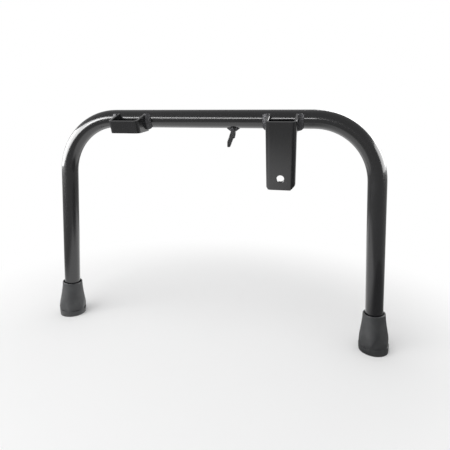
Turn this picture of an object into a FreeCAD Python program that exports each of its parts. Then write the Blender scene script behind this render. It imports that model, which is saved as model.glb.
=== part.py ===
import FreeCAD, Part
import math
import os

import Sketcher

Vector = FreeCAD.Vector

# Lengths are in millimetres and angles in degrees. +X runs along the bar, +Y to the back, +Z up.
SIZES = {
    # bent tube
    "tube_diameter": 21.3,
    "tube_wall": 2,
    "stand_height": 290,
    "foot_spacing": 425,
    "leg_splay": 4.1,
    "bend_radius": 74,
    # folded brackets: reach, rises and drops are measured from the bar's axis, square to the web
    "sheet_thickness": 3,
    "sheet_bend_radius": 2.5,
    "sheet_edge_break": 0.4,
    "bracket_turn": 20,
    "bracket_reach": 36,
    "web_rise": 8.7,
    "ear_front_drop": 6,
    "ear_back_drop": 12.8,
    "ear_back_reach": 8,
    "ear_back_top": 4,
    "ear_corner_round": 0.8,
    "short_bracket_width": 37.8,
    "long_bracket_width": 34.4,
    "long_bracket_drop": 74,
    "side_flange_depth": 8,
    "side_flange_round": 4,
    "bolt_hole_diameter": 9,
    "bolt_hole_lift": 14.8,
    "right_corner_cut": 5.5,
    "left_corner_cut": 2.5,
    # weld beads: the gaps lie between the outer bead of a bracket and the nearer bend
    "short_bracket_bend_gap": 0.25,
    "long_bracket_bend_gap": 11.1,
    "bead_along_tube": 6.8,
    "bead_up_sheet": 4.2,
    "bead_crown": 0.85,
    "bead_wrap": 96,
    # spring hook
    "hook_offset": 28.9,
    "hook_thickness": 5,
    "hook_width": 5.5,
    "hook_neck_drop": 15,
    "hook_flank_drop": 17,
    "hook_ledge_drop": 22.2,
    "hook_notch_drop": 23.2,
    "hook_bend_drop": 25.8,
    "hook_drop": 33.2,
    "hook_lean": 6.9,
    "hook_finger_width": 2.8,
    "hook_finger_taper": 3.9,
    "hook_ledge_width": 1.9,
    "hook_corner_round": 1.2,
    "hook_edge_break": 0.5,
    "hook_bead_along_tube": 7,
    "hook_bead_round_tube": 3.6,
    "hook_bead_cap": 0.4,
    "hook_bead_corner": 2.2,
    # rubber feet, on the axis of their leg: levels from the floor, flares beyond the rim
    "foot_length": 50,
    "foot_rim_wall": 2.6,
    "foot_neck_level": 38.5,
    "foot_neck_flare": 0.85,
    "foot_base_level": 13.5,
    "foot_base_flare": 5.25,
    "foot_sole_thickness": 8,
    "foot_sole_inset": 1.2,
    "foot_sole_break": 1.2,
    "foot_mouth_gap": 1,
    "foot_mouth_depth": 2.5,
    "foot_fit_clearance": 0.05,
    "foot_flat_depth": 2,
    "foot_flat_level": 8.5,
    "foot_flat_count": 6,
    "left_foot_turn": -12,
    "right_foot_turn": 14,
    # washers under the tube's ends
    "washer_thickness": 2,
    "washer_hole_diameter": 8,
    # room that a cutting sketch takes beyond the solid it cuts
    "cut_margin": 10,
}

DERIVED = {
    "tube_radius": "Sizes.tube_diameter / 2",
    "bar_level": "Sizes.stand_height - tube_radius",
    "foot_half_spacing": "Sizes.foot_spacing / 2",
    "bend_drop": "Sizes.bend_radius * (1 - sin(Sizes.leg_splay))",
    "bar_half_length": "foot_half_spacing - (bar_level - bend_drop) * tan(Sizes.leg_splay)"
                       " - Sizes.bend_radius * cos(Sizes.leg_splay)",
    "tube_end_lift": "Sizes.foot_sole_thickness + Sizes.washer_thickness",
    "short_bracket_offset": "bar_half_length - Sizes.short_bracket_bend_gap"
                            " - Sizes.bead_along_tube - Sizes.short_bracket_width / 2",
    "long_bracket_offset": "bar_half_length - Sizes.long_bracket_bend_gap"
                           " - Sizes.bead_along_tube - Sizes.long_bracket_width / 2",
    "bracket_front": "Sizes.bracket_reach * cos(Sizes.bracket_turn)"
                     " + Sizes.web_rise * sin(Sizes.bracket_turn)",
    "sheet_outer_bend": "Sizes.sheet_bend_radius + Sizes.sheet_thickness",
    "bead_slope": "atan(Sizes.bead_up_sheet / Sizes.bead_along_tube)",
    "socket_radius": "tube_radius + Sizes.foot_fit_clearance",
    "rim_radius": "socket_radius + Sizes.foot_rim_wall",
    "base_radius": "rim_radius + Sizes.foot_base_flare",
    "sole_trim": "2 * base_radius * tan(Sizes.leg_splay)",
    "tube_plane": "(bracket_front - base_radius) / 2",
}

doc = FreeCAD.newDocument("centre_stand")


def add_sheet(name, rows):
    """Spreadsheet with one named value per row."""
    table = doc.addObject("Spreadsheet::Sheet", name)
    for row, (alias, value) in enumerate(rows.items(), start=1):
        table.set("A%d" % row, alias)
        table.set("B%d" % row, str(value))
        table.setAlias("B%d" % row, alias)
    doc.recompute()
    return table


sizes = add_sheet("Sizes", SIZES)
derived = add_sheet("Derived", {alias: "=" + formula for alias, formula in DERIVED.items()})


def number(expression):
    """Value of an expression as a plain float."""
    value = sizes.evalExpression(expression)
    return float(getattr(value, "Value", value))


def body_named(name, base=("0", "0", "0"), axis=Vector(0, 0, 1), angle="0"):
    """Empty body at its place in the stand; base and angle are expressions."""
    body = doc.addObject("PartDesign::Body", name)
    body.Label = name
    body.Placement = FreeCAD.Placement(Vector(), FreeCAD.Rotation(axis, 1))
    for letter, expression in zip("xyz", base):
        body.setExpression("Placement.Base." + letter, expression)
    body.setExpression("Placement.Rotation.Angle", angle)
    return body


def sketch_on(body, name, plane, level=None):
    """Sketch on one of the body's own origin planes, raised by the expression in level."""
    sketch = body.newObject("Sketcher::SketchObject", name)
    support = next(item for item in body.Origin.OriginFeatures if item.Role == plane)
    sketch.AttachmentSupport = (support, [""])
    sketch.MapMode = "FlatFace"
    if level:
        sketch.setExpression("AttachmentOffset.Base.z", level)
    return sketch


def pin(sketch, geometry, point, corner):
    """Ties a point of the sketch to a pair of expressions."""
    for kind, expression in zip(("DistanceX", "DistanceY"), corner):
        index = sketch.addConstraint(
            Sketcher.Constraint(kind, -1, 1, geometry, point, number(expression)))
        sketch.setExpression("Constraints[%d]" % index, expression)


def outline(sketch, corners):
    """Closed outline through the corners, each a pair of expressions."""
    points = [Vector(number(x), number(y), 0) for x, y in corners]
    first = sketch.GeometryCount
    count = len(points)
    for side, start in enumerate(points):
        sketch.addGeometry(Part.LineSegment(start, points[(side + 1) % count]))
    for side in range(count):
        after = first + (side + 1) % count
        sketch.addConstraint(Sketcher.Constraint("Coincident", first + side, 2, after, 1))
        pin(sketch, first + side, 1, corners[side])
    return sketch


def rectangle(sketch, half_width, half_height):
    """Rectangle about the sketch's origin."""
    left, low = "-(%s)" % half_width, "-(%s)" % half_height
    return outline(sketch, [(left, low), (half_width, low), (half_width, half_height), (left, half_height)])


def circle(sketch, diameter, centre=("0", "0")):
    """Circle bound to a diameter and a centre."""
    middle = Vector(number(centre[0]), number(centre[1]), 0)
    index = sketch.addGeometry(Part.Circle(middle, Vector(0, 0, 1), number(diameter) / 2))
    pin(sketch, index, 3, centre)
    size = sketch.addConstraint(Sketcher.Constraint("Diameter", index, number(diameter)))
    sketch.setExpression("Constraints[%d]" % size, diameter)
    return sketch


def pad(body, name, sketch, length, symmetric=False):
    """Pad along the sketch's normal, or half to each side."""
    feature = body.newObject("PartDesign::Pad", name)
    feature.Profile = sketch
    feature.SideType = "Symmetric" if symmetric else "One side"
    feature.setExpression("Length", length)
    sketch.Visibility = False
    doc.recompute()
    return feature


def cut_through(body, name, sketch):
    """Pocket through the whole body, both ways from the sketch."""
    feature = body.newObject("PartDesign::Pocket", name)
    feature.Profile = sketch
    feature.Type = "ThroughAll"
    feature.SideType = "Symmetric"
    sketch.Visibility = False
    before = body.Shape.Volume
    doc.recompute()
    if not body.Shape.Volume < before:
        raise RuntimeError(name + " cuts nothing")
    return feature


def dress(body, kind, name, size, wanted):
    """Fillet or chamfer on the edges of the body's tip for which wanted(edge) is true."""
    tip = body.Tip
    names = ["Edge%d" % (i + 1) for i, edge in enumerate(tip.Shape.Edges) if wanted(edge)]
    feature = body.newObject("PartDesign::" + kind, name)
    feature.Base = (tip, names)
    feature.setExpression("Radius" if kind == "Fillet" else "Size", size)
    doc.recompute()
    return feature


def spans(edge, **levels):
    """True where the edge lies wholly at each level given, such as x=3."""
    box = edge.BoundBox
    for letter, level in levels.items():
        low = getattr(box, letter.upper() + "Min")
        high = getattr(box, letter.upper() + "Max")
        if abs(low - level) > 0.01 or abs(high - level) > 0.01:
            return False
    return True


def straight_along(edge, direction):
    """True for a straight edge parallel to the direction."""
    if not isinstance(edge.Curve, Part.Line):
        return False
    return abs(abs(edge.Curve.Direction.dot(direction)) - 1) < 1e-6


BAR_AXIS = ("0", "Derived.tube_plane", "Derived.bar_level")
X_AXIS = Vector(1, 0, 0)
Y_AXIS = Vector(0, 1, 0)
Z_AXIS = Vector(0, 0, 1)


def make_u_tube():
    """Half the bent tube swept along its axis, then mirrored."""
    body = body_named("u_tube", BAR_AXIS)

    path = sketch_on(body, "tube_path", "XZ_Plane")
    splay = math.radians(number("Sizes.leg_splay"))
    radius = number("Sizes.bend_radius")
    bar_end = Vector(number("Derived.bar_half_length"), 0, 0)
    bend_centre = bar_end + Vector(0, -radius, 0)
    bend_end = bend_centre + Vector(radius * math.cos(splay), radius * math.sin(splay), 0)
    leg_x = "Derived.foot_half_spacing - Derived.tube_end_lift * sin(Sizes.leg_splay)"
    leg_z = "-Derived.bar_level + Derived.tube_end_lift * cos(Sizes.leg_splay)"
    leg_end = Vector(number(leg_x), number(leg_z), 0)
    bar = path.addGeometry(Part.LineSegment(Vector(), bar_end))
    bend = path.addGeometry(Part.ArcOfCircle(
        Part.Circle(bend_centre, Vector(0, 0, 1), radius), splay, math.pi / 2))
    leg = path.addGeometry(Part.LineSegment(bend_end, leg_end))
    path.addConstraint(Sketcher.Constraint("Coincident", bar, 1, -1, 1))
    path.addConstraint(Sketcher.Constraint("Horizontal", bar))
    path.addConstraint(Sketcher.Constraint("Tangent", bar, 2, bend, 2))
    path.addConstraint(Sketcher.Constraint("Tangent", bend, 1, leg, 1))
    size = path.addConstraint(Sketcher.Constraint("Radius", bend, radius))
    path.setExpression("Constraints[%d]" % size, "Sizes.bend_radius")
    pin(path, leg, 2, (leg_x, leg_z))

    ring = sketch_on(body, "tube_section", "YZ_Plane")
    circle(ring, "Sizes.tube_diameter")
    circle(ring, "Sizes.tube_diameter - 2 * Sizes.tube_wall")
    doc.recompute()

    half = body.newObject("PartDesign::AdditivePipe", "tube_half")
    half.Profile = ring
    half.Spine = path
    path.Visibility = False
    ring.Visibility = False
    doc.recompute()

    whole = body.newObject("PartDesign::Mirrored", "tube_mirrored")
    whole.Originals = [half]
    plane = next(item for item in body.Origin.OriginFeatures if item.Role == "YZ_Plane")
    whole.MirrorPlane = (plane, [""])
    body.Tip = whole
    doc.recompute()
    return body


def make_bracket(name, offset, width, drop, side_profile):
    """Channel folded from sheet, as deep as drop: a web, two bends and two ears that saddle the tube."""
    body = body_named(name, (offset, BAR_AXIS[1], BAR_AXIS[2]), X_AXIS, "Sizes.bracket_turn")
    half = width + " / 2"
    inside = half + " - Sizes.sheet_thickness"
    face = "-Sizes.bracket_reach"
    inner_face = face + " + Sizes.sheet_thickness"

    section = sketch_on(body, "channel_section", "XY_Plane", "-" + drop)
    outline(section, [
        ("-" + half, "0"), ("-" + half, face), (half, face), (half, "0"),
        (inside, "0"), (inside, inner_face), ("-(" + inside + ")", inner_face),
        ("-(" + inside + ")", "0"),
    ])
    pad(body, "channel", section, drop + " + Sizes.web_rise")

    half_width = number(half)
    outer_bend = number(face)
    inner_bend = number(inner_face)
    dress(body, "Fillet", "outer_bends", "Derived.sheet_outer_bend", lambda edge: (
        straight_along(edge, Z_AXIS) and spans(edge, y=outer_bend)))
    dress(body, "Fillet", "inner_bends", "Sizes.sheet_bend_radius", lambda edge: (
        straight_along(edge, Z_AXIS) and spans(edge, y=inner_bend)
        and abs(edge.BoundBox.XMin) < half_width - 0.5 * number("Sizes.sheet_thickness")))

    trim = sketch_on(body, "side_trim", "YZ_Plane")
    front = face + " - Sizes.cut_margin"
    low = "-" + drop + " - Sizes.cut_margin"
    high = "Sizes.web_rise + Sizes.cut_margin"
    outline(trim, [(front + " * 2", low), ("Sizes.cut_margin", low),
                   ("Sizes.cut_margin", high), (front + " * 2", high)])
    outline(trim, [(front, "Sizes.web_rise"), ("0", "Sizes.web_rise"), ("-Sizes.ear_back_top", "0")]
            + side_profile + [(front, side_profile[-1][1])])
    cut_through(body, "ear_shape", trim)

    ear_corner = (-number("Sizes.ear_back_reach"), -number("Sizes.ear_back_drop"))
    dress(body, "Fillet", "ear_corners", "Sizes.ear_corner_round", lambda edge: (
        straight_along(edge, X_AXIS) and spans(edge, y=ear_corner[0], z=ear_corner[1])))

    saddle = sketch_on(body, "saddle_circle", "YZ_Plane")
    circle(saddle, "Sizes.tube_diameter")
    cut_through(body, "saddle", saddle)

    top = number("Sizes.web_rise")
    dress(body, "Chamfer", "top_edges", "Sizes.sheet_edge_break", lambda edge: (
        spans(edge, z=top) and not (straight_along(edge, X_AXIS) and edge.BoundBox.YMax > inner_bend)))
    return body


def make_long_bracket():
    """Long bracket: its web runs on down as a plate with side flanges and a bolt hole."""
    width = "Sizes.long_bracket_width"
    drop = "Sizes.long_bracket_drop"
    flange_back = "-Sizes.bracket_reach + Sizes.side_flange_depth"
    body = make_bracket("long_bracket", "Derived.long_bracket_offset", width, drop, [
        ("-Sizes.ear_back_reach", "-Sizes.ear_back_drop"),
        (flange_back, "-Sizes.ear_front_drop"),
        (flange_back, "-" + drop),
    ])

    flange_level = number(flange_back)
    ear_level = -number("Sizes.ear_front_drop")
    dress(body, "Fillet", "flange_corners", "Sizes.side_flange_round", lambda edge: (
        straight_along(edge, X_AXIS) and spans(edge, y=flange_level, z=ear_level)))

    corners = sketch_on(body, "corner_cuts", "XZ_Plane")
    for sign, cut in (("", "Sizes.right_corner_cut"), ("-", "Sizes.left_corner_cut")):
        side = width + " / 2 + Sizes.cut_margin"
        under = "-" + drop + " - Sizes.cut_margin"
        outline(corners, [
            ("%s(%s)" % (sign, side), "-%s + %s + Sizes.cut_margin" % (drop, cut)),
            ("%s(%s)" % (sign, side), under),
            ("%s(%s / 2 - %s - Sizes.cut_margin)" % (sign, width, cut), under),
        ])
    cut_through(body, "bottom_corners", corners)

    hole = sketch_on(body, "bolt_hole_circle", "XZ_Plane")
    circle(hole, "Sizes.bolt_hole_diameter", ("0", "-%s + Sizes.bolt_hole_lift" % drop))
    cut_through(body, "bolt_hole", hole)

    hole_radius = number("Sizes.bolt_hole_diameter") / 2
    dress(body, "Chamfer", "flange_edges", "Sizes.sheet_edge_break", lambda edge: (
        straight_along(edge, Z_AXIS) and spans(edge, y=flange_level)))
    dress(body, "Chamfer", "hole_edge", "Sizes.sheet_edge_break", lambda edge: (
        isinstance(edge.Curve, Part.Circle) and abs(edge.Curve.Radius - hole_radius) < 0.01
        and spans(edge, y=-number("Sizes.bracket_reach"))))
    return body


def make_short_bracket():
    """Short bracket: the same ears, and a web that ends level with them."""
    return make_bracket(
        "short_bracket", "-Derived.short_bracket_offset", "Sizes.short_bracket_width",
        "Sizes.ear_back_drop", [("-Sizes.ear_back_reach", "-Sizes.ear_back_drop"),
                                ("-Sizes.bracket_reach", "-Sizes.ear_front_drop")])


def make_bead(name, offset, width, side):
    """Fillet weld on the outer face of an ear, wrapped round the tube it saddles."""
    body = body_named(name, (offset, BAR_AXIS[1], BAR_AXIS[2]), X_AXIS, "Sizes.bracket_turn")
    sign = "" if side > 0 else "-"
    ear_face = "%s(%s / 2)" % (sign, width)
    toe = "%s(%s / 2 + Sizes.bead_along_tube)" % (sign, width)
    surface = "-Derived.tube_radius"
    profile = sketch_on(body, "bead_section", "XY_Plane")
    out = "Sizes.bead_crown * sin(Derived.bead_slope)"
    up = "Sizes.bead_crown * cos(Derived.bead_slope)"
    outline(profile, [
        (ear_face, surface), (toe, surface),
        ("%s(%s / 2 + Sizes.bead_along_tube / 2 + %s)" % (sign, width, out),
         "%s - Sizes.bead_up_sheet / 2 - %s" % (surface, up)),
        (ear_face, surface + " - Sizes.bead_up_sheet"),
    ])
    doc.recompute()

    bead = body.newObject("PartDesign::Revolution", "bead")
    bead.Profile = profile
    x_axis = next(item for item in body.Origin.OriginFeatures if item.Role == "X_Axis")
    bead.ReferenceAxis = (x_axis, [""])
    bead.Midplane = True
    bead.setExpression("Angle", "Sizes.bead_wrap")
    profile.Visibility = False
    doc.recompute()
    return body


def make_spring_hook():
    """Flat hook under the bar, with a shoulder and a narrower finger for the spring's loop."""
    body = body_named("spring_hook", ("Sizes.hook_offset", BAR_AXIS[1], BAR_AXIS[2]))
    flank = "Sizes.hook_width / 2"
    finger = "-Sizes.hook_lean + Sizes.hook_finger_width"
    notch = finger + " + Sizes.hook_finger_taper"
    shape = sketch_on(body, "hook_outline", "XZ_Plane")
    outline(shape, [
        ("-" + flank, "0"),
        ("-" + flank, "-Sizes.hook_neck_drop"),
        ("-Sizes.hook_lean", "-Sizes.hook_bend_drop"),
        ("-Sizes.hook_lean", "-Sizes.hook_drop"),
        (finger, "-Sizes.hook_drop"),
        (notch, "-Sizes.hook_notch_drop"),
        (notch + " + Sizes.hook_ledge_width", "-Sizes.hook_ledge_drop"),
        (flank, "-Sizes.hook_flank_drop"),
        (flank, "0"),
    ])
    pad(body, "hook_blank", shape, "Sizes.hook_thickness", symmetric=True)
    below_notch = -number("Sizes.hook_notch_drop") - 0.01
    dress(body, "Fillet", "hook_corners", "Sizes.hook_corner_round", lambda edge: (
        straight_along(edge, Y_AXIS) and edge.BoundBox.ZMax < below_notch))

    half_thickness = number("Sizes.hook_thickness") / 2
    dress(body, "Chamfer", "hook_edges", "Sizes.hook_edge_break", lambda edge: (
        abs(edge.BoundBox.YMin) > half_thickness - 0.01 and edge.BoundBox.YLength < 0.01
        and edge.BoundBox.ZMax < -number("Sizes.hook_neck_drop") + 0.01))

    saddle = sketch_on(body, "tube_circle", "YZ_Plane")
    circle(saddle, "Sizes.tube_diameter")
    cut_through(body, "tube_seat", saddle)
    return body


def make_hook_weld():
    """Weld round the hook's root: a tapered collar cut to the tube and to the hook."""
    body = body_named("hook_weld", ("Sizes.hook_offset", BAR_AXIS[1], BAR_AXIS[2]))
    foot_x = "Sizes.hook_width / 2 + Sizes.hook_bead_along_tube"
    foot_y = "Sizes.hook_thickness / 2 + Sizes.hook_bead_round_tube"
    cap_x = "Sizes.hook_width / 2 + Sizes.hook_bead_cap"
    cap_y = "Sizes.hook_thickness / 2 + Sizes.hook_bead_cap"
    collar = body.newObject("PartDesign::AdditiveWedge", "collar")
    collar.Placement = FreeCAD.Placement(Vector(), FreeCAD.Rotation(X_AXIS, -90))
    for prop, expression in (
            ("Xmin", "-(%s)" % foot_x), ("Xmax", foot_x), ("Zmin", "-(%s)" % foot_y), ("Zmax", foot_y),
            ("X2min", "-(%s)" % cap_x), ("X2max", cap_x), ("Z2min", "-(%s)" % cap_y), ("Z2max", cap_y),
            ("Ymin", "Derived.tube_radius / 2"), ("Ymax", "Sizes.hook_neck_drop")):
        collar.setExpression(prop, expression)
    doc.recompute()
    dress(body, "Fillet", "collar_corners", "Sizes.hook_bead_corner", lambda edge: (
        edge.BoundBox.ZLength > 1))

    root = sketch_on(body, "hook_root", "XY_Plane")
    rectangle(root, "Sizes.hook_width / 2", "Sizes.hook_thickness / 2")
    cut_through(body, "hook_passage", root)

    seat = sketch_on(body, "tube_circle", "YZ_Plane")
    circle(seat, "Sizes.tube_diameter")
    cut_through(body, "tube_seat", seat)
    return body


def make_foot(name, side, turn):
    """Push-on rubber ferrule: a flared bell with a socket, flats above its base ring, a level sole."""
    sign = "" if side > 0 else "-"
    body = body_named(name, (sign + "Derived.foot_half_spacing", "Derived.tube_plane", "0"),
                      Y_AXIS, "-Sizes.leg_splay" if side > 0 else "Sizes.leg_splay")

    profile = sketch_on(body, "bell_section", "XZ_Plane")
    mouth = "Derived.socket_radius + Sizes.foot_mouth_gap"
    outline(profile, [
        ("0", "-Derived.sole_trim"),
        ("Derived.base_radius - Sizes.foot_sole_inset", "-Derived.sole_trim"),
        ("Derived.base_radius", "Sizes.foot_base_level"),
        ("Derived.rim_radius + Sizes.foot_neck_flare", "Sizes.foot_neck_level"),
        ("Derived.rim_radius", "Sizes.foot_length"),
        (mouth, "Sizes.foot_length"),
        (mouth, "Sizes.foot_length - Sizes.foot_mouth_depth"),
        ("Derived.socket_radius", "Sizes.foot_length - Sizes.foot_mouth_depth"),
        ("Derived.socket_radius", "Sizes.foot_sole_thickness"),
        ("0", "Sizes.foot_sole_thickness"),
    ])
    doc.recompute()
    bell = body.newObject("PartDesign::Revolution", "bell")
    bell.Profile = profile
    z_axis = next(item for item in body.Origin.OriginFeatures if item.Role == "Z_Axis")
    bell.ReferenceAxis = (z_axis, [""])
    profile.Visibility = False
    doc.recompute()

    flat = sketch_on(body, "flat_section", "XY_Plane", "Sizes.foot_flat_level")
    flat_face = "-Derived.base_radius + Sizes.foot_flat_depth"
    outline(flat, [("-Derived.base_radius", "-2 * Derived.base_radius"),
                   ("Derived.base_radius", "-2 * Derived.base_radius"),
                   ("Derived.base_radius", flat_face), ("-Derived.base_radius", flat_face)])
    flat.setExpression("AttachmentOffset.Rotation.Angle", turn)
    first_flat = body.newObject("PartDesign::Pocket", "flat")
    first_flat.Profile = flat
    first_flat.Reversed = True
    first_flat.setExpression("Length", "Sizes.foot_length - Sizes.foot_flat_level")
    flat.Visibility = False
    doc.recompute()

    flats = body.newObject("PartDesign::PolarPattern", "flats")
    flats.Originals = [first_flat]
    flats.Axis = (z_axis, [""])
    flats.setExpression("Occurrences", "Sizes.foot_flat_count")
    body.Tip = flats
    doc.recompute()

    sole = sketch_on(body, "floor_line", "XZ_Plane")
    far = "2 * Derived.base_radius"
    rise = "Derived.sole_trim"
    outer, inner = ("-", "") if side > 0 else ("", "-")
    outline(sole, [("-" + far, inner + rise), (far, outer + rise), (far, "-" + far), ("-" + far, "-" + far)])
    cut_through(body, "level_sole", sole)
    splay = math.radians(number("Sizes.leg_splay")) * (-1 if side > 0 else 1)
    dress(body, "Chamfer", "sole_edge", "Sizes.foot_sole_break", lambda edge: all(
        abs(v.Point.z - v.Point.x * math.tan(splay)) < 0.01 for v in edge.Vertexes)
        and edge.BoundBox.ZMax < number("Derived.sole_trim"))
    return body


def make_washer(name, side):
    """Steel washer between the tube's end and the sole of its rubber foot."""
    sign = "" if side > 0 else "-"
    body = body_named(name, (sign + "Derived.foot_half_spacing", "Derived.tube_plane", "0"),
                      Y_AXIS, "-Sizes.leg_splay" if side > 0 else "Sizes.leg_splay")
    ring = sketch_on(body, "washer_section", "XY_Plane", "Sizes.foot_sole_thickness")
    circle(ring, "Sizes.tube_diameter")
    circle(ring, "Sizes.washer_hole_diameter")
    pad(body, "washer", ring, "Sizes.washer_thickness")
    return body


bodies = [make_u_tube(), make_long_bracket(), make_short_bracket()]
for bracket, offset in (("long_bracket", "Derived.long_bracket_offset"),
                        ("short_bracket", "-Derived.short_bracket_offset")):
    for side, hand in ((-1, "left"), (1, "right")):
        bodies.append(make_bead("%s_weld_%s" % (bracket, hand), offset,
                                "Sizes.%s_width" % bracket, side))
bodies.append(make_spring_hook())
bodies.append(make_hook_weld())
for side, hand in ((-1, "left"), (1, "right")):
    bodies.append(make_foot("rubber_foot_" + hand, side, "Sizes.%s_foot_turn" % hand))
    bodies.append(make_washer("foot_washer_" + hand, side))
doc.recompute()

os.makedirs("parts", exist_ok=True)
for item in doc.Objects:
    if "Invalid" in item.State or "Error" in item.State:
        raise RuntimeError(item.Label + " is in error")
for body in bodies:
    if body.Shape.isNull() or not body.Shape.isValid() or len(body.Shape.Solids) != 1:
        raise RuntimeError(body.Label + " isn't one valid solid")
    body.Shape.exportStep("parts/%s.step" % body.Label)
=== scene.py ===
import math

import bpy
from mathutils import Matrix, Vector


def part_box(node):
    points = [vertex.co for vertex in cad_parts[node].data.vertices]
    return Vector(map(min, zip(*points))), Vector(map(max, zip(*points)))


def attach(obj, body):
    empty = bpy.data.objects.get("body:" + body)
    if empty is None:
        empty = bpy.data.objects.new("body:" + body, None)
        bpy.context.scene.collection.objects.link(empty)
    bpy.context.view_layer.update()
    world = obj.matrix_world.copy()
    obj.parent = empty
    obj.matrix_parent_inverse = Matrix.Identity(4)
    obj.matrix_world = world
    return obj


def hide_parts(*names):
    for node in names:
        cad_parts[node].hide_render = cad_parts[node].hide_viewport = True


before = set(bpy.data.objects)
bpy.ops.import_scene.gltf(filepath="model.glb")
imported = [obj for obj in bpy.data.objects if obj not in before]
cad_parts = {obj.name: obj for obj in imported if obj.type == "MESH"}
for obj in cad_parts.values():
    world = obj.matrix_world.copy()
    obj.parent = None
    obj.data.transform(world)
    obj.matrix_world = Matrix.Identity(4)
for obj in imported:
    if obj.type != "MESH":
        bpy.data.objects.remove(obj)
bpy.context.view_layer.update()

bl_info = {
    "name": "Centre stand",
    "version": (1, 0, 0),
    "blender": (4, 5, 0),
    "location": "3D View > Sidebar > Stand",
    "description": "Finishes for a welded tube stand with rubber feet, and a plain studio",
    "category": "Object",
}

MM = 0.001
LOW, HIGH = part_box("u_tube")
TUBE_RADIUS = (HIGH.y - LOW.y) / 2
BAR_PLANE = (HIGH.y + LOW.y) / 2
BAR_LEVEL = HIGH.z - TUBE_RADIUS
FLOOR_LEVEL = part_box("rubber_foot_left")[0].z

FRAME_NODES = ("u_tube", "long_bracket", "short_bracket", "spring_hook")
WASHER_NODES = ("foot_washer_left", "foot_washer_right")

WHITE = (1, 1, 1, 1)
MERGE = 0.01 * MM
WELD_VOXEL = 0.28 * MM
SOCKET_GAP = 0.05 * MM


def linear(hex_colour):
    """Linear RGBA from an sRGB hex value such as 1a2b3c."""
    channels = [int(hex_colour[i:i + 2], 16) / 255 for i in (0, 2, 4)]
    return [c / 12.92 if c <= 0.04045 else ((c + 0.055) / 1.055) ** 2.4 for c in channels] + [1.0]


def add_node(tree, kind, links=None, **settings):
    """Adds a shader node; settings are its properties or sockets, links feed its sockets."""
    node = tree.nodes.new(kind)
    for name, value in settings.items():
        if hasattr(node, name):
            setattr(node, name, value)
        else:
            node.inputs[name.replace("_", " ")].default_value = value
    for socket, source in (links or {}).items():
        tree.links.new(source, node.inputs[socket])
    return node


def new_material(name):
    """Material with an empty node tree and its output node."""
    material = bpy.data.materials.new(name)
    material.use_nodes = True
    material.node_tree.nodes.clear()
    output = material.node_tree.nodes.new("ShaderNodeOutputMaterial")
    return material, material.node_tree, output


def coat(piece, material):
    """Puts one material on a piece in place of what it has."""
    piece.data.materials.clear()
    piece.data.materials.append(material)


def gloss_black_enamel(hex_colour, hex_thin):
    """Black stoving enamel under clear lacquer: deep and even, with a faint orange peel."""
    material, tree, output = new_material("gloss_black_enamel")
    place = add_node(tree, "ShaderNodeTexCoord").outputs["Object"]
    # orange peel has cells about 2.5 mm across
    peel = add_node(tree, "ShaderNodeTexNoise", {"Vector": place}, Scale=1 / (2.5 * MM), Detail=2.0)
    # slow changes in film thickness, about 60 mm across
    film = add_node(tree, "ShaderNodeTexNoise", {"Vector": place}, Scale=1 / (60 * MM), Detail=3.0)
    gloss = add_node(tree, "ShaderNodeMapRange", {"Value": film.outputs["Fac"]},
                     To_Min=0.16, To_Max=0.3)
    tone = add_node(tree, "ShaderNodeValToRGB", {"Fac": film.outputs["Fac"]})
    tone.color_ramp.elements[0].position = 0.3
    tone.color_ramp.elements[0].color = linear(hex_colour)
    tone.color_ramp.elements[1].position = 0.75
    tone.color_ramp.elements[1].color = linear(hex_thin)
    bump = add_node(tree, "ShaderNodeBump", {"Height": peel.outputs["Fac"]},
                    Strength=0.012, Distance=0.02 * MM)
    shader = add_node(tree, "ShaderNodeBsdfPrincipled", {
        "Base Color": tone.outputs["Color"], "Roughness": gloss.outputs["Result"],
        "Normal": bump.outputs["Normal"], "Coat Normal": bump.outputs["Normal"]},
        IOR=1.5, Coat_Weight=1.0, Coat_Roughness=0.05, Coat_IOR=1.5)
    tree.links.new(shader.outputs["BSDF"], output.inputs["Surface"])
    return material


def satin_black_rubber(hex_colour, hex_bloom):
    """Moulded natural rubber: dark grey, satin, with a faint pale bloom and a fine grain."""
    material, tree, output = new_material("satin_black_rubber")
    place = add_node(tree, "ShaderNodeTexCoord").outputs["Object"]
    # bloom gathers in patches about 12 mm across
    bloom = add_node(tree, "ShaderNodeTexNoise", {"Vector": place}, Scale=1 / (12 * MM), Detail=4.0)
    # the mould's grain is about 0.3 mm, drawn at 0.6 mm so that it shows
    grain = add_node(tree, "ShaderNodeTexNoise", {"Vector": place}, Scale=1 / (0.6 * MM), Detail=2.0)
    tone = add_node(tree, "ShaderNodeValToRGB", {"Fac": bloom.outputs["Fac"]})
    tone.color_ramp.elements[0].position = 0.35
    tone.color_ramp.elements[0].color = linear(hex_colour)
    tone.color_ramp.elements[1].position = 0.7
    tone.color_ramp.elements[1].color = linear(hex_bloom)
    bump = add_node(tree, "ShaderNodeBump", {"Height": grain.outputs["Fac"]},
                    Strength=0.25, Distance=0.05 * MM)
    shader = add_node(tree, "ShaderNodeBsdfPrincipled", {
        "Base Color": tone.outputs["Color"], "Normal": bump.outputs["Normal"]},
        Roughness=0.5, IOR=1.52)
    tree.links.new(shader.outputs["BSDF"], output.inputs["Surface"])
    return material


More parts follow.
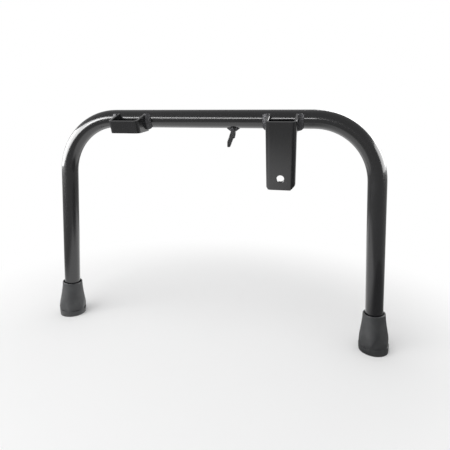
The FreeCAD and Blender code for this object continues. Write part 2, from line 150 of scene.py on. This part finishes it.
def zinc_plated_steel(hex_colour):
    """Bright zinc plate on pressed steel: pale grey metal with a soft, uneven shine."""
    material, tree, output = new_material("zinc_plated_steel")
    place = add_node(tree, "ShaderNodeTexCoord").outputs["Object"]
    # spangle about 3 mm across
    spangle = add_node(tree, "ShaderNodeTexNoise", {"Vector": place}, Scale=1 / (3 * MM))
    gloss = add_node(tree, "ShaderNodeMapRange", {"Value": spangle.outputs["Fac"]},
                     To_Min=0.28, To_Max=0.42)
    shader = add_node(tree, "ShaderNodeBsdfPrincipled", {"Roughness": gloss.outputs["Result"]},
                      Metallic=1.0, Base_Color=linear(hex_colour))
    tree.links.new(shader.outputs["BSDF"], output.inputs["Surface"])
    return material


class StandFinish(bpy.types.PropertyGroup):
    """Colours of the stand."""
    enamel: bpy.props.StringProperty(name="Enamel", description="sRGB hex of the black enamel",
                                     default="0b0b0d")
    enamel_thin: bpy.props.StringProperty(name="Thin enamel", default="131316",
                                          description="sRGB hex where the film is thinner")
    rubber: bpy.props.StringProperty(name="Rubber", description="sRGB hex of the rubber",
                                     default="2b2c2e")
    rubber_bloom: bpy.props.StringProperty(name="Rubber bloom", default="38393a",
                                           description="sRGB hex of the rubber's pale bloom")
    zinc: bpy.props.StringProperty(name="Zinc", description="sRGB hex of the zinc plate",
                                   default="c3c6c8")


class WeldSizes(bpy.types.PropertyGroup):
    """Fillet welds, laid as a row of overlapping ripples."""
    along_tube: bpy.props.FloatProperty(name="Along the tube", unit="LENGTH", default=6.8 * MM,
                                        description="How far a weld reaches along the tube")
    up_sheet: bpy.props.FloatProperty(name="Up the sheet", unit="LENGTH", default=4.2 * MM,
                                      description="How far a weld climbs the ear")
    wrap: bpy.props.FloatProperty(name="Wrap", subtype="ANGLE", default=math.radians(96),
                                  description="How far a weld goes round the tube")
    turn: bpy.props.FloatProperty(name="Turn", subtype="ANGLE", default=math.radians(20),
                                  description="How far the brackets are tipped forward")
    ripples: bpy.props.IntProperty(name="Ripples", description="Ripples in one weld",
                                   default=11, min=4, max=30)

class FootSizes(bpy.types.PropertyGroup):
    """Rubber feet, measured along the axis of their leg."""
    spacing: bpy.props.FloatProperty(name="Spacing", unit="LENGTH", default=425 * MM,
                                     description="Distance between the feet on the floor")
    splay: bpy.props.FloatProperty(name="Splay", subtype="ANGLE", default=math.radians(4.1),
                                   description="Lean of each leg")
    length: bpy.props.FloatProperty(name="Length", unit="LENGTH", default=50 * MM,
                                    description="From the floor to the rim")
    rim: bpy.props.FloatProperty(name="Rim", unit="LENGTH", default=2.65 * MM,
                                 description="Rim's radius beyond the tube's")
    flare: bpy.props.FloatProperty(name="Flare", unit="LENGTH", default=5.25 * MM,
                                   description="Base's radius beyond the rim's")
    flats: bpy.props.IntProperty(name="Flats", description="Flats moulded round the base",
                                 default=6, min=3, max=12)
    flat_depth: bpy.props.FloatProperty(name="Flat depth", unit="LENGTH", default=2 * MM,
                                        description="How deep a flat goes below the base's side")
    flat_level: bpy.props.FloatProperty(name="Flat level", unit="LENGTH", default=8.5 * MM,
                                        description="Height of the ledge under the flats")
    edge_round: bpy.props.FloatProperty(name="Edge round", unit="LENGTH", default=0.45 * MM,
                                        description="Rounding of the moulded edges")
    left_turn: bpy.props.FloatProperty(name="Left turn", subtype="ANGLE",
                                       default=math.radians(-12),
                                       description="How the left foot is turned on its leg")
    right_turn: bpy.props.FloatProperty(name="Right turn", subtype="ANGLE",
                                        default=math.radians(14),
                                        description="How the right foot is turned on its leg")


def deselect_all():
    """Leaves object mode with nothing selected."""
    if bpy.context.mode != "OBJECT":
        bpy.ops.object.mode_set(mode="OBJECT")
    bpy.ops.object.select_all(action="DESELECT")


def pick(piece):
    """Makes a piece the only one selected."""
    deselect_all()
    piece.select_set(True)
    bpy.context.view_layer.objects.active = piece


def settle(piece):
    """Moves a piece's place, turn and scale into its mesh."""
    pick(piece)
    bpy.ops.object.transform_apply(location=True, rotation=True, scale=True)


def apply_modifier(piece, kind, **settings):
    """Adds a modifier with its settings and applies it."""
    pick(piece)
    modifier = piece.modifiers.new(kind.lower(), kind)
    for name, value in settings.items():
        setattr(modifier, name, value)
    bpy.ops.object.modifier_apply(modifier=modifier.name)


def join(pieces, name):
    """Joins pieces into the first one."""
    pick(pieces[0])
    for piece in pieces[1:]:
        piece.select_set(True)
    bpy.ops.object.join()
    joined = bpy.context.object
    joined.name = name
    joined.data.name = name
    return joined


def smooth(piece, angle=30):
    """Smooth shading, with edges sharper than the angle left crisp."""
    pick(piece)
    bpy.ops.object.shade_smooth_by_angle(angle=math.radians(angle))


def stands_for(piece, node, material):
    """Puts a finished piece in the place of its CAD node."""
    coat(piece, material)
    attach(piece, "root")
    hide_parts(node)


def ripple(centre, reach, thickness, breadth, slope):
    """One ripple of weld metal: a flattened lump that leans along the seam's corner."""
    bpy.ops.mesh.primitive_uv_sphere_add(segments=24, ring_count=14, radius=1, location=centre,
                                         rotation=(0, slope, 0), scale=(reach, breadth, thickness))
    lump = bpy.context.object
    settle(lump)
    return lump


def melt(piece, voxel, roughness):
    """Fuses overlapping lumps into one skin and makes it slightly uneven."""
    apply_modifier(piece, "REMESH", mode="VOXEL", voxel_size=voxel, use_smooth_shade=True)
    flow = bpy.data.textures.new("weld_flow", "CLOUDS")
    flow.noise_scale = 2.2 * MM
    apply_modifier(piece, "DISPLACE", texture=flow, strength=roughness, mid_level=0.5)
    apply_modifier(piece, "SMOOTH", factor=0.5, iterations=3)
    smooth(piece, 60)


class STAND_OT_enamel(bpy.types.Operator):
    """Coat the tube, the brackets and the hook with gloss black enamel"""
    bl_idname = "stand.enamel"
    bl_label = "Enamelled frame"

    def execute(self, context):
        finish = context.scene.stand_finish
        enamel = gloss_black_enamel(finish.enamel, finish.enamel_thin)
        for name in FRAME_NODES:
            coat(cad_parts[name], enamel)
        return {"FINISHED"}


class STAND_OT_welds(bpy.types.Operator):
    """Lay the rippled welds beside the ears and round the hook's root"""
    bl_idname = "stand.welds"
    bl_label = "Welds"

    def execute(self, context):
        welds = context.scene.stand_welds
        enamel = bpy.data.materials["gloss_black_enamel"]
        first = None
        for bracket in ("long_bracket", "short_bracket"):
            low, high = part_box(bracket)
            for side, hand, face in ((-1, "left", low.x), (1, "right", high.x)):
                if first is None:
                    first = lay_ear_weld(welds)
                weld = first.copy()
                weld.data = first.data.copy()
                context.collection.objects.link(weld)
                weld.name = weld.data.name = "%s_bead_%s" % (bracket, hand)
                weld.scale.x = side
                weld.location = (face, BAR_PLANE, BAR_LEVEL)
                settle(weld)
                if side < 0:
                    bpy.ops.object.mode_set(mode="EDIT")
                    bpy.ops.mesh.select_all(action="SELECT")
                    bpy.ops.mesh.normals_make_consistent(inside=False)
                    bpy.ops.object.mode_set(mode="OBJECT")
                stands_for(weld, "%s_weld_%s" % (bracket, hand), enamel)
        bpy.data.objects.remove(first)
        root = lay_hook_weld()
        stands_for(root, "hook_weld", enamel)
        return {"FINISHED"}


def lay_ear_weld(welds):
    """Weld on an ear that faces right, with the tube's axis through the origin."""
    slope = math.atan2(welds.up_sheet, welds.along_tube)
    half_chord = math.hypot(welds.along_tube, welds.up_sheet) / 2
    half_row = welds.wrap * 0.42
    lumps = []
    for count in range(welds.ripples):
        deselect_all()
        lump = ripple((0.38 * welds.along_tube, 0, TUBE_RADIUS + 0.36 * welds.up_sheet),
                      1.07 * half_chord, 0.52 * welds.up_sheet, 0.43 * welds.up_sheet, slope)
        # straight forward is a quarter turn from the top
        share = count / (welds.ripples - 1)
        lump.rotation_euler.x = math.pi / 2 + welds.turn + half_row * (2 * share - 1)
        settle(lump)
        lumps.append(lump)
    weld = join(lumps, "ear_weld")
    melt(weld, WELD_VOXEL, 0.3 * MM)
    return weld


def lay_hook_weld():
    """Lumpy weld round the root of the hook, thickest at the neck and thin along the bar."""
    low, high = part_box("hook_weld")
    middle = (low.x + high.x) / 2
    # each ripple: how far along the bar, how far to the front, depth below the axis, radius, in mm
    ripples = [(0.0, 0.0, 12.2, 3.2), (0.0, 3.1, 11.0, 2.2), (0.0, -3.1, 11.0, 2.2)]
    for side in (1, -1):
        for along, front, depth, radius in ((2.9, 0.0, 12.0, 2.2), (4.4, 0.4, 11.3, 2.0),
                                            (5.6, -0.3, 10.6, 1.8), (6.7, 0.2, 10.1, 1.5)):
            ripples.append((side * along, side * front, depth, radius))
    lumps = []
    for along, front, depth, radius in ripples:
        deselect_all()
        place = (middle + along * MM, BAR_PLANE - front * MM, BAR_LEVEL - depth * MM)
        bpy.ops.mesh.primitive_uv_sphere_add(segments=24, ring_count=14, radius=radius * MM,
                                             location=place, scale=(1, 1.25, 1))
        lumps.append(bpy.context.object)
        settle(lumps[-1])
    weld = join(lumps, "hook_root_bead")
    melt(weld, WELD_VOXEL, 0.25 * MM)
    return weld


def turned_profile(name, corners, steps):
    """Closed body turned round the Z axis from a profile of radius and height, in metres."""
    deselect_all()
    bpy.ops.mesh.primitive_plane_add(size=1 * MM, location=(0, 0, 0))
    piece = bpy.context.object
    piece.name = piece.data.name = name
    bpy.ops.object.mode_set(mode="EDIT")
    bpy.ops.mesh.select_all(action="SELECT")
    bpy.ops.mesh.merge(type="CENTER")
    bpy.ops.transform.translate(value=(corners[0][0], 0, corners[0][1]))
    for (radius, height), (next_radius, next_height) in zip(corners, corners[1:]):
        bpy.ops.mesh.extrude_region_move(TRANSFORM_OT_translate={
            "value": (next_radius - radius, 0, next_height - height)})
    bpy.ops.mesh.select_all(action="SELECT")
    bpy.ops.mesh.spin(steps=steps, angle=2 * math.pi, center=(0, 0, 0), axis=(0, 0, 1))
    bpy.ops.mesh.select_all(action="SELECT")
    bpy.ops.mesh.remove_doubles(threshold=MERGE)
    bpy.ops.mesh.normals_make_consistent(inside=False)
    bpy.ops.object.mode_set(mode="OBJECT")
    return piece


def mould_foot(name, side, turn, feet):
    """Rubber foot: a flared bell with a lipped rim, flats above a base ring and a level sole."""
    rim = TUBE_RADIUS + feet.rim
    base = rim + feet.flare
    top = feet.length
    bore = TUBE_RADIUS + SOCKET_GAP
    under = 2 * base * math.tan(feet.splay)
    # from the sole's middle up the outside, over the lip and down the bore
    outside = [(0, -under), (base - 1.3 * MM, -under), (base - 0.1 * MM, 12 * MM),
               (base, 13.2 * MM), (base - 0.15 * MM, 14.6 * MM)]
    # the side pulls in between base and rim, as the flare dies out upwards
    for share in (0.12, 0.25, 0.4, 0.55, 0.7, 0.85):
        height = 13.5 * MM + share * (top - 14.5 * MM)
        outside.append((rim + feet.flare * (1 - share) ** 1.35, height))
    lip = [(rim + 0.12 * MM, top - 1.4 * MM), (rim + 0.1 * MM, top - 0.7 * MM),
           (rim - 0.25 * MM, top - 0.15 * MM), (rim - 0.7 * MM, top),
           (bore + 1.2 * MM, top), (bore + 0.95 * MM, top - 0.3 * MM),
           (bore + 0.9 * MM, top - 2.4 * MM), (bore, top - 2.5 * MM), (bore, 8 * MM), (0, 8 * MM)]
    foot = turned_profile(name, outside + lip, 96)

    cutters = []
    for count in range(feet.flats):
        deselect_all()
        bpy.ops.mesh.primitive_cube_add(size=1)
        cutter = bpy.context.object
        cutter.scale = (18.5 * MM, 10 * MM, top)
        cutter.location = (0, -(base - feet.flat_depth) - 5 * MM, feet.flat_level + top / 2)
        settle(cutter)
        cutter.rotation_euler.z = turn + count * 2 * math.pi / feet.flats
        settle(cutter)
        cutters.append(cutter)
    tool = join(cutters, "flat_cutter")
    apply_modifier(foot, "BOOLEAN", operation="DIFFERENCE", object=tool, solver="EXACT",
                   use_self=True)
    bpy.data.objects.remove(tool)

    foot.rotation_euler.y = -side * feet.splay
    foot.location = (side * feet.spacing / 2, BAR_PLANE, FLOOR_LEVEL)
    settle(foot)
    bpy.ops.object.mode_set(mode="EDIT")
    bpy.ops.mesh.select_all(action="SELECT")
    bpy.ops.mesh.bisect(plane_co=(0, 0, FLOOR_LEVEL), plane_no=(0, 0, 1), clear_inner=True,
                        use_fill=True)
    bpy.ops.mesh.select_all(action="SELECT")
    bpy.ops.mesh.remove_doubles(threshold=MERGE)
    bpy.ops.mesh.normals_make_consistent(inside=False)
    bpy.ops.object.mode_set(mode="OBJECT")
    apply_modifier(foot, "BEVEL", width=feet.edge_round, segments=3, limit_method="ANGLE",
                   angle_limit=math.radians(24), use_clamp_overlap=True)
    smooth(foot, 35)
    return foot


class STAND_OT_feet(bpy.types.Operator):
    """Mould the two rubber feet and give them their material"""
    bl_idname = "stand.feet"
    bl_label = "Rubber feet"

    def execute(self, context):
        finish = context.scene.stand_finish
        feet = context.scene.stand_feet
        rubber = satin_black_rubber(finish.rubber, finish.rubber_bloom)
        for side, hand, turn in ((-1, "left", feet.left_turn), (1, "right", feet.right_turn)):
            foot = mould_foot("ferrule_" + hand, side, turn, feet)
            stands_for(foot, "rubber_foot_" + hand, rubber)
        return {"FINISHED"}


class STAND_OT_washers(bpy.types.Operator):
    """Plate the washers inside the feet with zinc"""
    bl_idname = "stand.washers"
    bl_label = "Foot washers"

    def execute(self, context):
        zinc = zinc_plated_steel(context.scene.stand_finish.zinc)
        for name in WASHER_NODES:
            coat(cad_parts[name], zinc)
        return {"FINISHED"}


def floor_material(hex_colour):
    """Pale matt floor that keeps the shadow near the stand and fades to white away from it.

    In gloss rays it glows instead of being lit: a painted pool of light under the stand, dimmer round
    it, and painted shade darkest at the right front corner.
    """
    material, tree, output = new_material("studio_floor")
    place = add_node(tree, "ShaderNodeTexCoord").outputs["Object"]
    distance = add_node(tree, "ShaderNodeVectorMath", {0: place}, operation="LENGTH")
    far = add_node(tree, "ShaderNodeMapRange", {"Value": distance.outputs["Value"]},
                   From_Min=0.2, From_Max=0.48, interpolation_type="SMOOTHSTEP")
    matt = add_node(tree, "ShaderNodeBsdfDiffuse", Color=linear(hex_colour))
    white = add_node(tree, "ShaderNodeEmission", Strength=1.0)
    fade = add_node(tree, "ShaderNodeMixShader",
                    {0: far.outputs["Result"], 1: matt.outputs["BSDF"], 2: white.outputs["Emission"]})
    # painted pool of light under the stand, seen only in reflections
    middle = add_node(tree, "ShaderNodeVectorMath", {0: place}, operation="DISTANCE")
    middle.inputs[1].default_value = (-0.05, 0.08, 0)
    under = add_node(tree, "ShaderNodeMapRange", {"Value": middle.outputs["Value"]},
                     From_Min=0.27, From_Max=0.44, To_Min=1.0, To_Max=0.34,
                     interpolation_type="SMOOTHSTEP")
    # painted shade at the right front corner, seen only in reflections
    corner = add_node(tree, "ShaderNodeVectorMath", {0: place}, operation="DISTANCE")
    corner.inputs[1].default_value = (0.38, -0.13, 0)
    right = add_node(tree, "ShaderNodeMapRange", {"Value": corner.outputs["Value"]},
                     From_Min=0.2, From_Max=0.36, To_Min=0.17, To_Max=1.0,
                     interpolation_type="SMOOTHSTEP")
    sheet = add_node(tree, "ShaderNodeMath", {0: under.outputs["Result"], 1: right.outputs["Result"]},
                     operation="MINIMUM")
    # the floor glows with this painted light and shade in reflections instead of being lit
    mirrored = add_node(tree, "ShaderNodeEmission", {"Strength": sheet.outputs["Value"]})
    rays = add_node(tree, "ShaderNodeLightPath")
    polished = add_node(tree, "ShaderNodeMath", {0: rays.outputs["Is Glossy Ray"],
                                                 1: rays.outputs["Is Transmission Ray"]},
                        operation="MAXIMUM")
    other = add_node(tree, "ShaderNodeMixShader", {0: polished.outputs["Value"],
                                                   1: matt.outputs["BSDF"],
                                                   2: mirrored.outputs["Emission"]})
    shown = add_node(tree, "ShaderNodeMixShader", {0: rays.outputs["Is Camera Ray"],
                                                   1: other.outputs["Shader"],
                                                   2: fade.outputs["Shader"]})
    tree.links.new(shown.outputs["Shader"], output.inputs["Surface"])
    return material


def studio_world():
    """White to the camera; in gloss, a room that is dim overhead, in front and to the right."""
    world = bpy.data.worlds.new("studio")
    bpy.context.scene.world = world
    world.use_nodes = True
    tree = world.node_tree
    tree.nodes.clear()
    rays = add_node(tree, "ShaderNodeLightPath")
    mirrored = add_node(tree, "ShaderNodeMath", {0: rays.outputs["Is Glossy Ray"],
                                                 1: rays.outputs["Is Transmission Ray"]},
                        operation="MAXIMUM")
    way = add_node(tree, "ShaderNodeTexCoord").outputs["Generated"]
    split = add_node(tree, "ShaderNodeSeparateXYZ", {0: way})
    ceiling = add_node(tree, "ShaderNodeMapRange", {"Value": split.outputs["Z"]},
                       From_Min=0.08, From_Max=0.4, To_Min=1.0, To_Max=0.35)
    # the room is bright to the left and behind, dim in front and to the right
    slant = add_node(tree, "ShaderNodeVectorMath", {0: way}, operation="DOT_PRODUCT")
    slant.inputs[1].default_value = (-0.9, 1, 0)
    room = add_node(tree, "ShaderNodeMapRange", {"Value": slant.outputs["Value"]},
                    From_Min=-0.3, From_Max=0.15, To_Min=0.34, To_Max=0.7)
    dim = add_node(tree, "ShaderNodeMath", {0: ceiling.outputs["Result"], 1: room.outputs["Result"]},
                   operation="MINIMUM")
    white = add_node(tree, "ShaderNodeBackground", Color=WHITE, Strength=1.0)
    gloss = add_node(tree, "ShaderNodeBackground", {"Strength": dim.outputs["Value"]}, Color=WHITE)
    light = add_node(tree, "ShaderNodeBackground", Color=WHITE, Strength=0.62)
    other = add_node(tree, "ShaderNodeMixShader", {0: mirrored.outputs["Value"],
                                                   1: light.outputs["Background"],
                                                   2: gloss.outputs["Background"]})
    mixed = add_node(tree, "ShaderNodeMixShader", {0: rays.outputs["Is Camera Ray"],
                                                   1: other.outputs["Shader"],
                                                   2: white.outputs["Background"]})
    output = add_node(tree, "ShaderNodeOutputWorld")
    tree.links.new(mixed.outputs["Shader"], output.inputs["Surface"])


def soft_lamp(name, place, size, radiance, **seen):
    """Rectangular area lamp of a given radiance that faces the stand."""
    deselect_all()
    bpy.ops.object.light_add(type="AREA", location=place)
    lamp = bpy.context.object
    lamp.name = name
    lamp.data.shape = "RECTANGLE"
    lamp.data.size, lamp.data.size_y = size
    lamp.data.energy = radiance * math.pi * size[0] * size[1]
    lamp.rotation_euler = (Vector((0, 0, 0.2)) - Vector(place)).to_track_quat("-Z", "Y").to_euler()
    for ray, answer in seen.items():
        setattr(lamp, ray, answer)


class StudioView(bpy.types.PropertyGroup):
    """Camera, lamps and floor."""
    camera_place: bpy.props.FloatVectorProperty(
        name="Camera place", description="Where the camera stands", subtype="TRANSLATION",
        unit="LENGTH", default=(0.1311, -0.4654, 0.2688))
    camera_turn: bpy.props.FloatVectorProperty(
        name="Camera turn", description="The camera's Euler angles", subtype="EULER",
        default=(math.radians(76.14), math.radians(-0.49), math.radians(13.34)))
    lens: bpy.props.FloatProperty(name="Lens", description="Focal length on a 36 mm sensor",
                                  default=31.47, min=10, max=200)
    floor_colour: bpy.props.StringProperty(name="Floor", description="sRGB hex of the floor",
                                           default="f6f6f6")
    floor_radius: bpy.props.FloatProperty(name="Floor radius", description="Where the floor ends",
                                          default=6.0, min=1, unit="LENGTH")
    key: bpy.props.FloatProperty(name="Key softbox", description="Radiance, white being 1",
                                 default=3.2, min=0)
    strip: bpy.props.FloatProperty(name="Front strip", description="Radiance, white being 1",
                                   default=10.0, min=0)
    left: bpy.props.FloatProperty(name="Left softbox", description="Radiance, white being 1",
                                  default=8.0, min=0)
    right: bpy.props.FloatProperty(name="Right softbox", description="Radiance, white being 1",
                                   default=4.5, min=0)
    rear: bpy.props.FloatProperty(name="Rear softbox", description="Radiance, white being 1",
                                  default=3.5, min=0)


class STAND_OT_stage(bpy.types.Operator):
    """Set up the floor, the soft light and the camera"""
    bl_idname = "stand.stage"
    bl_label = "Studio"

    def execute(self, context):
        scene = context.scene
        studio = scene.stand_studio
        deselect_all()
        bpy.ops.mesh.primitive_circle_add(vertices=96, radius=studio.floor_radius,
                                          fill_type="NGON", location=(0, 0, FLOOR_LEVEL))
        floor = context.object
        floor.name = "studio_floor"
        settle(floor)
        coat(floor, floor_material(studio.floor_colour))
        studio_world()
        soft_lamp("key_softbox", (-0.5, -0.7, 1.6), (1.2, 1.2), studio.key, visible_glossy=False)
        # the others are seen in the gloss only, as the light lines on the enamel
        soft_lamp("front_strip", (-0.45, -1.25, 0.47), (1.2, 0.14), studio.strip,
                  visible_diffuse=False)
        soft_lamp("left_softbox", (-1.3, -0.5, 0.5), (1.9, 0.65), studio.left,
                  visible_diffuse=False)
        soft_lamp("right_softbox", (1.3, 0.35, 0.62), (2.0, 0.6), studio.right,
                  visible_diffuse=False)
        soft_lamp("rear_softbox", (0.75, 1.05, 0.85), (1.4, 0.6), studio.rear,
                  visible_diffuse=False)
        bpy.ops.object.camera_add(location=studio.camera_place, rotation=studio.camera_turn)
        camera = context.object
        camera.name = "camera"
        camera.data.sensor_width = 36
        camera.data.lens = studio.lens
        camera.data.clip_start = 0.01
        scene.camera = camera
        scene.view_settings.view_transform = "Standard"
        return {"FINISHED"}


class STAND_PT_panel(bpy.types.Panel):
    """Sizes, colours and steps of the stand"""
    bl_label = "Stand"
    bl_idname = "STAND_PT_panel"
    bl_space_type = "VIEW_3D"
    bl_region_type = "UI"
    bl_category = "Stand"

    def draw(self, context):
        scene = context.scene
        for group in (scene.stand_finish, scene.stand_welds, scene.stand_feet, scene.stand_studio):
            for name in group.__annotations__:
                self.layout.prop(group, name)
        for operator in OPERATORS:
            self.layout.operator(operator.bl_idname)


GROUPS = (StandFinish, WeldSizes, FootSizes, StudioView)
OPERATORS = (STAND_OT_enamel, STAND_OT_welds, STAND_OT_feet, STAND_OT_washers, STAND_OT_stage)


def register():
    for item in GROUPS + OPERATORS + (STAND_PT_panel,):
        bpy.utils.register_class(item)
    bpy.types.Scene.stand_finish = bpy.props.PointerProperty(type=StandFinish)
    bpy.types.Scene.stand_welds = bpy.props.PointerProperty(type=WeldSizes)
    bpy.types.Scene.stand_feet = bpy.props.PointerProperty(type=FootSizes)
    bpy.types.Scene.stand_studio = bpy.props.PointerProperty(type=StudioView)


def unregister():
    del bpy.types.Scene.stand_studio
    del bpy.types.Scene.stand_feet
    del bpy.types.Scene.stand_welds
    del bpy.types.Scene.stand_finish
    for item in reversed(GROUPS + OPERATORS + (STAND_PT_panel,)):
        bpy.utils.unregister_class(item)


def main():
    register()
    bpy.ops.stand.enamel()
    bpy.ops.stand.welds()
    bpy.ops.stand.feet()
    bpy.ops.stand.washers()
    bpy.ops.stand.stage()


if __name__ == "__main__":
    main()
